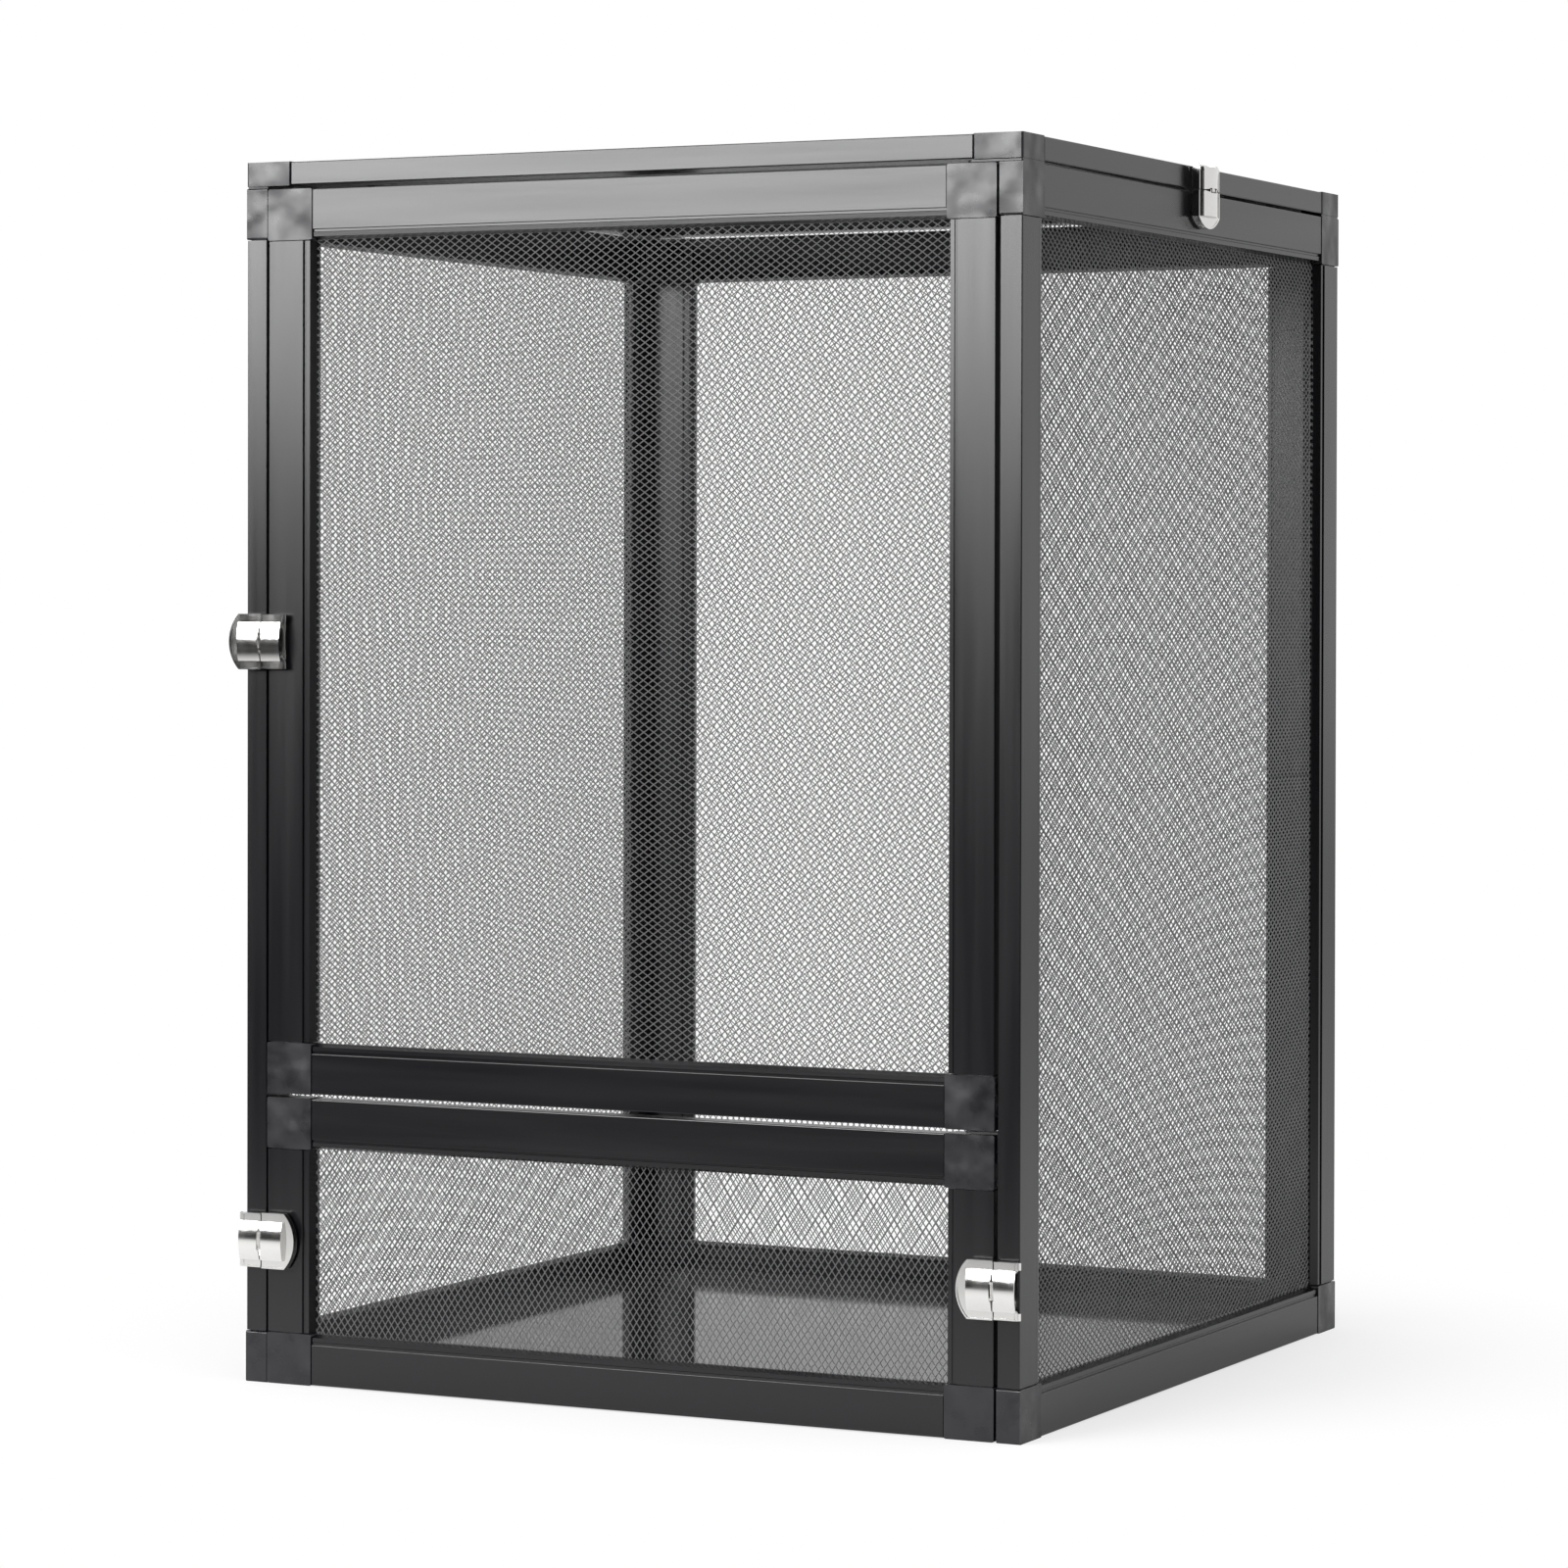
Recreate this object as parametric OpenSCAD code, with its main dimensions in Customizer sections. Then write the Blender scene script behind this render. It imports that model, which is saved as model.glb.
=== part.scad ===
// Framed mesh terrarium with a hinged upper door, a lift-out lower door and a lift-off lid.
// Millimetres. X runs to the right, Y to the back and Z up.
// The origin is on the ground, under the middle of the whole object.

/* [Cage] */
// Width across the corner blocks of the two side panels
cage_w = 430; // [340:1:600]
// Depth from the front to the back corner blocks
cage_d = 430; // [340:1:600]
// Height to the top of the lid's corner blocks
cage_h = 620; // [480:1:900]
// Height of the middle of the gap between the two doors
door_split_z = 146.7; // [110:0.1:220]

/* [Frame profile] */
// Width of a frame member in the plane of its panel
rail_w = 25.4; // [24:0.1:30]
// Thickness of a panel frame
rail_t = 11.6; // [11:0.1:15]
// Wall of the hollow part of a member
rail_wall = 1.2; // [0.8:0.1:1.8]
// Width of the flat face of a member
face_w = 20.4; // [17:0.1:21]
// Width of the groove between the face and the bead
groove_w = 1.2; // [0.8:0.1:2]
// Depth of that groove
groove_d = 1; // [0.8:0.1:2]
// Width of the bead beside the groove
bead_w = 2.4; // [1.2:0.1:2.4]
// How far the bead lies below the face
bead_drop = 0.6; // [0.2:0.1:0.7]
// How much deeper the bead lies on its side towards the mesh
bead_slope = 0.1; // [0:0.05:0.4]
// Width of the slot that holds the mesh
slot_w = 1; // [0.9:0.05:1.4]
// Depth of that slot
slot_depth = 4; // [3:0.1:5]
// Radius of the long outer edges of a member
edge_r = 0.5; // [0.4:0.1:1.1]

/* [Corner blocks] */
// How far a corner block stands proud of its rails on every side
block_proud = 0.3; // [0.3:0.05:0.7]
// How far a corner block reaches past the inner edge of its rails
block_inset = 0.2; // [0.1:0.1:1.5]
// Length of the tenon that a corner block pushes into a rail
tenon_len = 24; // [12:1:40]
// Clearance round a tenon
tenon_fit = 0.15; // [0.05:0.05:0.3]
// Height of the seats that the lid rests on
seat_h = 1; // [0.5:0.1:2]
// Radius of the upright edges of a corner block
block_r = 1; // [0.5:0.1:2]
// Gap left between a corner block and the end of a rail
joint_gap = 0.5; // [0.1:0.1:1]

/* [Gaps] */
// Gap between the doors and the left side panel, where the upper door's latch is
latch_gap = 1; // [1:0.1:3]
// Gap between the doors and the right side panel, where the upper door's hinge is
hinge_gap = 2; // [2:0.1:4]
// Gap between the corner blocks of the two doors
split_gap = 2; // [1.8:0.1:3]
// Gap between the corner blocks of the upper door and the lid
top_gap = 1.8; // [1.8:0.1:3]
// Ground clearance of the lower door
ground_gap = 0.2; // [0.2:0.1:2]

/* [Mesh] */
// Thickness of the mesh sheets
mesh_t = 0.8; // [0.5:0.05:0.85]
// Clearance between the edge of a sheet and the bottom of its slot
mesh_fit = 0.3; // [0.1:0.1:0.6]
// Openings along the longer side of a sheet, a plain grid in place of the fine diamonds
mesh_cells = 12; // [4:1:12]
// Width of the bars between these openings
mesh_bar = 3; // [2:0.1:6]

/* [Floor] */
// Thickness of the floor board
board_t = 3.5; // [2:0.1:8]
// Thickness of the tube frame under the board
floor_t = 7; // [6:0.1:12]
// Height of the floor frame above the ground
floor_lift = 0.5; // [0.2:0.1:2]
// Clearance round the floor frame and the board
floor_fit = 0.3; // [0.1:0.1:1]
// Diameter of the dowels that join the panels
dowel_d = 4; // [3:0.1:5]
// Length of a dowel
dowel_len = 14; // [10:0.5:20]

/* [Door hinge] */
// Diameter of the hinge pins
hinge_pin_d = 4; // [3:0.1:5]
// Length of a hinge pin inside the door
hinge_pin_len = 12; // [8:0.5:16]
// Distance of the hinge pins from the edge of the door stile
hinge_in = 12; // [9:0.1:14]
// Distance of the hinge pins behind the face of the door
hinge_back = 4; // [3.7:0.1:4.4]
// Thickness of the hinge plates
hinge_plate_t = 1; // [0.8:0.1:1]
// Height of the fixing leg of the lower hinge plate
hinge_leg_h = 14; // [10:0.5:25]

/* [Latches] */
// Width of a latch
latch_w = 28.2; // [27:0.1:36]
// How far a latch stands out from its panel
latch_rise = 7.8; // [6.9:0.1:9]
// Length of the lever from the seam to its rounded tip
lever_len = 19.4; // [19:0.1:20.8]
// Length of the flat nose at the lever's tip
nose_len = 7; // [6:0.1:8]
// Radius of the rounded tip of the lever
lever_tip_r = 20; // [17:0.1:26]
// Length of the claw from the seam to the axis of its barrel
claw_len = 12.4; // [12:0.1:18]
// Thickness of the latch sheet metal
latch_sheet = 0.8; // [0.6:0.1:1]
// Thickness of the screwed latch plates
latch_plate_t = 1; // [0.8:0.1:1.1]
// Width of the round bulge along a latch
bulge_w = 19.6; // [18:0.1:22]
// Height of the bulge above the flat edges of a latch
bulge_h = 3; // [2.6:0.1:3.4]
// How far the middle of the bulge stands above its sides
bulge_crown = 1.6; // [1.2:0.1:2.2]
// Diameter of the latch pins
latch_pin_d = 1.2; // [1:0.1:1.2]
// Distance of the lid latches behind the middle of the cage
lid_latch_back = 11; // [-40:1:60]

/* [Hidden] */
$fn = 48;

// Running clearance of a pin in its hole, and the gap kept between neighbours that pass each other.
pin_fit = 0.05;
near = 0.2;
// Length that a cut runs past the solid it cuts.
past = 1;
// Steps in a rounded edge of a rail.
arc_steps = 3;

// The latches on the front make the object deeper than the cage, so the cage sits a little behind.
front_overhang = latch_rise - block_proud;
cage_y = front_overhang / 2;
face_y = cage_y - cage_d / 2 + block_proud;
back_y = cage_y + cage_d / 2 - block_proud;
side_x = cage_w / 2 - block_proud;
inner_x = side_x - rail_t;

// Heights, from the lid down.
lid_face_z = cage_h - block_proud;
lid_under_z = lid_face_z - rail_t;
lid_block_z = lid_under_z - block_proud;
side_top_z = lid_block_z - seat_h - block_proud;
side_h = side_top_z - block_proud;
side_len = cage_d - 2 * block_proud;

// The doors.
door_left_x = latch_gap - inner_x;
door_w = inner_x - hinge_gap - door_left_x;
upper_bottom_z = door_split_z + split_gap / 2 + block_proud;
upper_top_z = lid_block_z - top_gap - block_proud;
upper_h = upper_top_z - upper_bottom_z;
lower_bottom_z = ground_gap + block_proud;
lower_top_z = door_split_z - split_gap / 2 - block_proud;
lower_h = lower_top_z - lower_bottom_z;

// The back panel fills the space between the side panels' blocks.
back_w = 2 * (inner_x - 2 * block_proud);

// The floor lies behind the lower door and in front of the back panel.
floor_front_y = face_y + rail_t + block_proud + floor_fit;
floor_rear_y = back_y - rail_t - block_proud - floor_fit;
floor_w = 2 * (inner_x - block_proud - floor_fit);
floor_d = floor_rear_y - floor_front_y;
floor_top_z = floor_lift + floor_t;

// The corner blocks and the mesh.
block_reach = rail_w + block_inset;
slot_mid = rail_t / 2;
mesh_edge = rail_w - slot_depth + mesh_fit;

// The hinge axis.
hinge_x = door_left_x + door_w - hinge_in;
hinge_y = face_y + hinge_back;
hinge_plate_r = hinge_back;
top_plate_z = upper_top_z + block_proud + (top_gap - hinge_plate_t) / 2;
split_plate_z = door_split_z - hinge_plate_t / 2;

// Where the latches sit.
seam_x = inner_x;
seam_z = lid_under_z - seat_h / 2;
upper_latch_z = (upper_bottom_z + upper_top_z) / 2;
lower_latch_z = (lower_bottom_z + lower_top_z) / 2;
lid_latch_y = cage_y + lid_latch_back;

// Latch sections, measured along the latch from the seam and outwards from the panel's face.
barrel_r = 1.2;
plate_start = 1.5;
plate_end = claw_len - barrel_r - 2 * near;
plate_tongue = claw_len - 2 * near;
plate_half = latch_w / 2 - 1;
wing_top = latch_rise - bulge_h;
wing_low = wing_top - latch_sheet;
barrel_z = wing_low - latch_sheet;
rim_low = latch_plate_t + 2 * near;
rim_top = wing_top + 0.4;
bulge_r = (pow(bulge_w / 2, 2) + pow(bulge_crown, 2)) / (2 * bulge_crown);
bulge_z = latch_rise - bulge_r;
bulge_in_r = bulge_r - latch_sheet;
hollow_half = (bulge_w - latch_sheet) / 2;
seam_edge = 0.3;
bevel_top = 1.1;
lever_wall_x = lever_len - nose_len;
knuckle_z = latch_rise - 1.2;
knuckle_r = 1;
knuckle_top = knuckle_r - near;
claw_half = latch_w / 2 - 0.4;
barrel_start = bulge_w / 2 + 0.4;

// Across the knuckle, from the middle: the claw's knuckle, the base's ears and the lever's arms.
claw_knuckle = 1.5 * latch_pin_d;
base_ear_y = claw_knuckle + near;
lever_arm_y = base_ear_y + latch_plate_t + near;
pin_half = lever_arm_y + 1.5 * latch_sheet;
// Reach of these arms and ears along the latch, and how far an arm reaches below the pin's axis.
arm_len = 3.2;
ear_back = 4.5;
arm_low = 0.6;
ear_y = bulge_w / 2 - 2.8;
latch_bore_r = latch_pin_d / 2 + pin_fit;

// Latch screws, with a head that lies flush in its plate.
screw_x = 6.5;
screw_y = 6;
screw_r = 1.2;
screw_head_r = 2.2;
screw_len = 5;

black = [0.13, 0.13, 0.14];
plastic = [0.2, 0.2, 0.21];
sheet_grey = [0.3, 0.3, 0.31];
nickel = [0.8, 0.8, 0.78];

// ---------- Frame members ----------

function arc(c, r, a0, a1) = [
    for (i = [0 : arc_steps])
        let (a = a0 + (a1 - a0) * i / arc_steps)
        c + r * [cos(a), sin(a)]
];

// One half of a member's outline, from its outer edge over the face to the bottom of the slot.
half_profile = concat(
    arc([edge_r, -edge_r], edge_r, 180, 90),
    arc([face_w - edge_r / 2, -edge_r / 2], edge_r / 2, 90, 0),
    [
        [face_w, -groove_d],
        [face_w + groove_w, -groove_d],
        [face_w + groove_w, -bead_drop - edge_r / 2],
        [face_w + groove_w + edge_r / 2, -bead_drop],
        [face_w + groove_w + bead_w, -bead_drop - bead_slope],
        [rail_w, slot_w - slot_mid],
        [rail_w, slot_w / 2 - slot_mid],
        [rail_w - slot_depth, slot_w / 2 - slot_mid]
    ]
);

function mirrored_half(points) = [
    for (i = [len(points) - 1 : -1 : 0])
        [points[i][0], -rail_t - points[i][1]]
];

module member_section() {
    difference() {
        polygon(concat(half_profile, mirrored_half(half_profile)));
        translate([rail_wall, rail_wall - rail_t])
            square([face_w - 2 * rail_wall, rail_t - 2 * rail_wall]);
    }
}

// A member along X: its outer edge on Y = 0, its outer face on Z = 0.
module member(length) {
    rotate([90, 0, 90])
        linear_extrude(length)
            member_section();
}

// A panel lies in its own XY plane with its outer face on Z = 0 and its corner at the origin.
module bottom_rail(w) {
    start = block_reach + joint_gap;
    translate([start, 0, 0])
        member(w - 2 * start);
}

module top_rail(w, h) {
    translate([w, h, 0])
        rotate([0, 0, 180])
            bottom_rail(w);
}

module left_stile(h) {
    translate([0, h, 0])
        rotate([0, 0, -90])
            bottom_rail(h);
}

module right_stile(w, h) {
    translate([w, 0, 0])
        rotate([0, 0, 90])
            bottom_rail(h);
}

// A square with rounded corners from [a, a] to [b, b].
module rounded_square(a, b, r) {
    translate([a + r, a])
        square([b - a - 2 * r, b - a]);
    translate([a, a + r])
        square([b - a, b - a - 2 * r]);
    for (x = [a + r, b - r])
        for (y = [a + r, b - r])
            translate([x, y])
                circle(r);
}

module tenon(thickness, width) {
    translate([block_reach - past, rail_wall + tenon_fit, rail_wall + tenon_fit - thickness])
        cube([
            tenon_len + past,
            width - 2 * (rail_wall + tenon_fit),
            thickness - 2 * (rail_wall + tenon_fit)
        ]);
}

// The block of the lower left corner, with a pocket for the corner of the mesh.
module corner_block() {
    difference() {
        translate([0, 0, -rail_t - block_proud])
            linear_extrude(rail_t + 2 * block_proud)
                rounded_square(-block_proud, block_reach, block_r);
        translate([rail_w - slot_depth, rail_w - slot_depth, -slot_mid - slot_w / 2])
            cube([rail_w, rail_w, slot_w]);
    }
    tenon(rail_t, face_w);
    mirror([1, -1, 0])
        tenon(rail_t, face_w);
}

module at_corner(i, w, h) {
    spots = [[0, 0], [w, 0], [w, h], [0, h]];
    translate([spots[i][0], spots[i][1], 0])
        rotate([0, 0, 90 * i])
            children();
}

module corner_blocks(w, h) {
    for (i = [0 : 3])
        at_corner(i, w, h)
            corner_block();
}

// The seats on the upper edge of a side panel's top blocks.
module lid_seats(w, h) {
    for (x = [block_r - block_proud, w - block_reach])
        translate([x, h + block_proud - past, -rail_t])
            cube([block_reach + block_proud - block_r, seat_h + past, rail_t]);
}

// A sheet with its edges in the slots and its openings between the rails.
module mesh_sheet(w, h) {
    open_w = w - 2 * rail_w;
    open_h = h - 2 * rail_w;
    cell = max(open_w, open_h) / mesh_cells;
    columns = round(open_w / cell);
    rows = round(open_h / cell);
    step_x = open_w / columns;
    step_y = open_h / rows;
    difference() {
        translate([mesh_edge, mesh_edge, -slot_mid - mesh_t / 2])
            cube([w - 2 * mesh_edge, h - 2 * mesh_edge, mesh_t]);
        for (i = [0 : columns - 1])
            for (j = [0 : rows - 1])
                translate([rail_w + i * step_x + mesh_bar / 2, rail_w + j * step_y + mesh_bar / 2, -rail_t])
                    cube([step_x - mesh_bar, step_y - mesh_bar, rail_t]);
    }
}

// ---------- Where the panels stand ----------

module on_left() {
    translate([-side_x, cage_y + side_len / 2, block_proud])
        rotate([90, 0, -90])
            children();
}

module on_right() {
    translate([side_x, cage_y - side_len / 2, block_proud])
        rotate([90, 0, 90])
            children();
}

module on_back() {
    translate([back_w / 2, back_y, block_proud])
        rotate([90, 0, 180])
            children();
}

module on_upper_door() {
    translate([door_left_x, face_y, upper_bottom_z])
        rotate([90, 0, 0])
            children();
}

module on_lower_door() {
    translate([door_left_x, face_y, lower_bottom_z])
        rotate([90, 0, 0])
            children();
}

module on_lid() {
    translate([-side_x, face_y, lid_face_z])
        children();
}

module on_floor() {
    translate([-floor_w / 2, floor_rear_y, floor_lift])
        rotate([180, 0, 0])
            children();
}

// ---------- Where the latches sit ----------

// X runs from the lever's tip to the claw's end, Y across and Z out from the face.
module at_upper_latch() {
    translate([-seam_x, face_y, upper_latch_z])
        rotate([90, 0, 0])
            children();
}

module at_lower_right_latch() {
    translate([seam_x, face_y, lower_latch_z])
        rotate([90, 0, 0])
            children();
}

module at_lower_left_latch() {
    translate([-seam_x, face_y, lower_latch_z])
        rotate([0, 180, 0])
            rotate([90, 0, 0])
                children();
}

module at_lid_left_latch() {
    translate([-side_x, lid_latch_y, seam_z])
        rotate([0, -90, 0])
            children();
}

module at_lid_right_latch() {
    translate([side_x, lid_latch_y, seam_z])
        rotate([0, 0, 180])
            rotate([0, -90, 0])
                children();
}

// ---------- Latch parts ----------

module latch_screws(side) {
    for (y = [-screw_y, screw_y])
        translate([side * screw_x, y, 0]) {
            cylinder(r1 = screw_r, r2 = screw_head_r, h = latch_plate_t);
            translate([0, 0, -screw_len])
                cylinder(r = screw_r, h = screw_len);
        }
}

// The holes for these screws in the plate and in the rail under it.
module latch_screw_holes(side) {
    for (y = [-screw_y, screw_y])
        translate([side * screw_x, y, 0]) {
            cylinder(r1 = screw_r + pin_fit, r2 = screw_head_r + pin_fit, h = latch_plate_t);
            translate([0, 0, -screw_len - past])
                cylinder(r = screw_r + pin_fit, h = screw_len + past);
        }
}

// A cylinder across the latch.
module across(x, z, r, y0, y1) {
    translate([x, y1, z])
        rotate([90, 0, 0])
            cylinder(r = r, h = y1 - y0);
}

// A flat plate under the lever.
module lever_plate() {
    difference() {
        translate([-plate_end, -plate_half, 0])
            cube([plate_end - plate_start, 2 * plate_half, latch_plate_t]);
        latch_screw_holes(-1);
    }
}

// The base that carries the lever and the claw on one pin.
module lever_base() {
    lever_plate();
    for (m = [0, 1])
        mirror([0, m, 0])
            difference() {
                union() {
                    translate([-ear_back, base_ear_y, latch_plate_t / 2])
                        cube([
                            ear_back + knuckle_r - near / 2,
                            latch_plate_t,
                            knuckle_z - latch_plate_t / 2 - knuckle_r / 2
                        ]);
                    across(0, knuckle_z, knuckle_r, base_ear_y, base_ear_y + latch_plate_t);
                }
                across(0, knuckle_z, latch_bore_r, 0, pin_half);
            }
}

module claw_plate_body() {
    translate([plate_start, -plate_half, 0])
        cube([plate_end - plate_start, 2 * plate_half, latch_plate_t]);
}

// The plate under the claw, with the ridge that the claw's barrel catches behind.
module catch_plate() {
    difference() {
        claw_plate_body();
        latch_screw_holes(1);
    }
    for (m = [0, 1])
        mirror([0, m, 0])
            translate([plate_end - latch_sheet, barrel_start, latch_plate_t / 2])
                cube([
                    latch_sheet,
                    claw_half - latch_sheet - near - barrel_start,
                    wing_low - near - latch_plate_t / 2
                ]);
}

// The plate under the claw, with the ears that carry the claw's pin.
module claw_hinge_plate() {
    difference() {
        union() {
            claw_plate_body();
            translate([plate_start, -ear_y - 2 * latch_plate_t, 0])
                cube([plate_tongue - plate_start, 2 * ear_y + 4 * latch_plate_t, latch_plate_t]);
        }
        latch_screw_holes(1);
    }
    ear_r = barrel_r - near / 2;
    for (m = [0, 1])
        mirror([0, m, 0])
            difference() {
                union() {
                    translate([plate_end - ear_r, ear_y, latch_plate_t / 2])
                        cube([
                            claw_len + 2 * ear_r - plate_end - near / 2,
                            latch_plate_t,
                            barrel_z - latch_plate_t / 2
                        ]);
                    across(claw_len, barrel_z, ear_r, ear_y, ear_y + latch_plate_t);
                }
                across(claw_len, barrel_z, latch_bore_r, ear_y - past, ear_y + latch_plate_t + past);
            }
}

// A bar under the crowned top of the bulge, from x0 to x1.
module crowned_bar(x0, x1, half, r) {
    intersection() {
        translate([x0, 0, bulge_z])
            rotate([0, 90, 0])
                cylinder(r = r, h = x1 - x0, $fn = 192);
        translate([x0, -half, wing_low])
            cube([x1 - x0, 2 * half, latch_rise]);
    }
}

module bulge(x0, x1) {
    difference() {
        crowned_bar(x0, x1, bulge_w / 2, bulge_r);
        translate([0, 0, -near])
            crowned_bar(x0 - past, x1 + past, bulge_w / 2 - latch_sheet, bulge_in_r + near);
    }
}

// The wall that closes the lever's bulge towards its tip.
module bulge_wall(x) {
    crowned_bar(x, x + latch_sheet, bulge_w / 2, bulge_r);
}

// The space that the bevelled ends of the two bulges leave above the pin, and a window round it.
module seam_bevel() {
    rotate([90, 0, 0])
        linear_extrude(latch_w, center = true)
            polygon([
                [-seam_edge, knuckle_z],
                [-bevel_top, latch_rise + near],
                [bevel_top, latch_rise + near],
                [seam_edge, knuckle_z]
            ]);
    translate([-knuckle_r - near, -pin_half - near, wing_low - past])
        cube([2 * (knuckle_r + near), 2 * (pin_half + near), latch_rise]);
}

// The lever's outline, smaller all round by the given inset.
module lever_outline(inset) {
    intersection() {
        translate([-lever_len + inset, inset - latch_w / 2])
            square([lever_len - seam_edge - inset, latch_w - 2 * inset]);
        translate([lever_tip_r - lever_len, 0])
            circle(r = lever_tip_r - inset, $fn = 96);
    }
}

module lever() {
    difference() {
        union() {
            difference() {
                union() {
                    translate([0, 0, wing_low])
                        linear_extrude(latch_sheet)
                            lever_outline(0);
                    translate([0, 0, rim_low])
                        linear_extrude(rim_top - rim_low)
                            difference() {
                                lever_outline(0);
                                lever_outline(latch_sheet);
                            }
                }
                // The hollow under the bulge, and the open end at the seam under and over the edges.
                translate([-lever_wall_x, -hollow_half, 0])
                    cube([lever_wall_x, 2 * hollow_half, latch_rise]);
                translate([-seam_edge - latch_sheet - near, -plate_half, 0])
                    cube([latch_w, 2 * plate_half, wing_low]);
                translate([-seam_edge - latch_sheet - near, latch_sheet - latch_w / 2, wing_top])
                    cube([latch_w, latch_w - 2 * latch_sheet, past]);
            }
            difference() {
                bulge(-lever_wall_x - latch_sheet, -seam_edge);
                seam_bevel();
            }
            bulge_wall(-lever_wall_x - latch_sheet);
            for (m = [0, 1])
                mirror([0, m, 0]) {
                    across(0, knuckle_z, knuckle_r, lever_arm_y, pin_half);
                    translate([-arm_len, lever_arm_y, knuckle_z - arm_low])
                        cube([arm_len, pin_half - lever_arm_y, arm_low + knuckle_top]);
                }
        }
        across(0, knuckle_z, latch_bore_r, -pin_half - past, pin_half + past);
    }
}

module claw() {
    difference() {
        union() {
            for (m = [0, 1])
                mirror([0, m, 0]) {
                    translate([seam_edge, bulge_w / 2 - 0.2, wing_low])
                        cube([claw_len - seam_edge, claw_half - bulge_w / 2 + 0.2, latch_sheet]);
                    translate([seam_edge, claw_half - latch_sheet, rim_low])
                        cube([claw_len - seam_edge - 1, latch_sheet, rim_top - rim_low]);
                    translate([claw_len - barrel_r - near - latch_sheet, bulge_w / 2, wing_low])
                        cube([latch_sheet, claw_half - bulge_w / 2, rim_top - wing_low]);
                    across(claw_len, barrel_z, barrel_r, barrel_start, claw_half);
                }
            difference() {
                bulge(seam_edge, claw_len - barrel_r / 2);
                seam_bevel();
            }
            across(0, knuckle_z, knuckle_r, -claw_knuckle, claw_knuckle);
            translate([0, -claw_knuckle, knuckle_z - arm_low])
                cube([arm_len, 2 * claw_knuckle, arm_low + knuckle_top]);
        }
        across(0, knuckle_z, latch_bore_r, -claw_knuckle - past, claw_knuckle + past);
        for (m = [0, 1])
            mirror([0, m, 0])
                across(claw_len, barrel_z, latch_bore_r, barrel_start - past, claw_half + past);
    }
}

module knuckle_pin() {
    across(0, knuckle_z, latch_pin_d / 2, -pin_half, pin_half);
}

module barrel_pin() {
    across(claw_len, barrel_z, latch_pin_d / 2, -claw_half, claw_half);
}

// ---------- Left side panel ----------

module left_front_stile() {
    color(black)
        difference() {
            on_left()
                right_stile(side_len, side_h);
            at_upper_latch()
                latch_screw_holes(-1);
            at_lower_left_latch()
                latch_screw_holes(1);
        }
}

module left_rear_stile() {
    color(black)
        on_left()
            left_stile(side_h);
}

module left_top_rail() {
    color(black)
        difference() {
            on_left()
                top_rail(side_len, side_h);
            at_lid_left_latch()
                latch_screw_holes(-1);
        }
}

module left_bottom_rail() {
    color(black)
        on_left()
            bottom_rail(side_len);
}

module left_corner_blocks() {
    color(plastic)
        difference() {
            on_left() {
                corner_blocks(side_len, side_h);
                lid_seats(side_len, side_h);
            }
            dowels(pin_fit, past);
        }
}

module left_mesh() {
    color(sheet_grey)
        on_left()
            mesh_sheet(side_len, side_h);
}

// ---------- Right side panel ----------

module right_front_stile() {
    color(black)
        difference() {
            on_right()
                left_stile(side_h);
            at_lower_right_latch()
                latch_screw_holes(1);
            split_plate_screw(pin_fit, past);
        }
}

module right_rear_stile() {
    color(black)
        on_right()
            right_stile(side_len, side_h);
}

module right_top_rail() {
    color(black)
        difference() {
            on_right()
                top_rail(side_len, side_h);
            at_lid_right_latch()
                latch_screw_holes(-1);
        }
}

module right_bottom_rail() {
    color(black)
        on_right()
            bottom_rail(side_len);
}

module right_corner_blocks() {
    color(plastic)
        difference() {
            on_right() {
                corner_blocks(side_len, side_h);
                lid_seats(side_len, side_h);
            }
            dowels(pin_fit, past);
            top_plate_pocket();
            top_plate_screw(pin_fit, past);
        }
}

module right_mesh() {
    color(sheet_grey)
        on_right()
            mesh_sheet(side_len, side_h);
}

// ---------- Back panel ----------

module back_stiles() {
    color(black)
        on_back() {
            left_stile(side_h);
            right_stile(back_w, side_h);
        }
}

module back_rails() {
    color(black)
        on_back() {
            bottom_rail(back_w);
            top_rail(back_w, side_h);
        }
}

module back_corner_blocks() {
    color(plastic)
        difference() {
            on_back()
                corner_blocks(back_w, side_h);
            dowels(pin_fit, past);
        }
}

module back_mesh() {
    color(sheet_grey)
        on_back()
            mesh_sheet(back_w, side_h);
}

// Dowels from the side panels' blocks into the back panel's and the floor's blocks.
module dowels(grow, longer) {
    back_dowel_y = back_y - slot_mid / 2 - dowel_d / 4;
    back_dowel_z = block_proud + slot_mid;
    floor_dowel_z = floor_lift + floor_t / 2;
    floor_dowel_y = [
        (floor_front_y + face_y + block_reach) / 2,
        (floor_rear_y + back_y - block_reach) / 2
    ];
    for (side = [-1, 1]) {
        for (z = [side_top_z - slot_mid, back_dowel_z + floor_t + board_t])
            dowel(side, back_dowel_y, z, grow, longer);
        for (y = floor_dowel_y)
            dowel(side, y, floor_dowel_z, grow, longer);
    }
}

module dowel(side, y, z, grow, longer) {
    length = dowel_len + longer;
    translate([side * (inner_x - block_proud) - length / 2, y, z])
        rotate([0, 90, 0])
            cylinder(r = dowel_d / 2 + grow, h = length);
}

module panel_dowels() {
    color(plastic)
        dowels(0, 0);
}

// ---------- Floor ----------

module floor_tube(length) {
    difference() {
        cube([length, face_w, floor_t]);
        translate([-past, rail_wall, rail_wall])
            cube([length + 2 * past, face_w - 2 * rail_wall, floor_t - 2 * rail_wall]);
    }
}

module floor_block() {
    translate([0, 0, -floor_t])
        cube([block_reach, block_reach, floor_t]);
    tenon(floor_t, face_w);
    mirror([1, -1, 0])
        tenon(floor_t, face_w);
}

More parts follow.
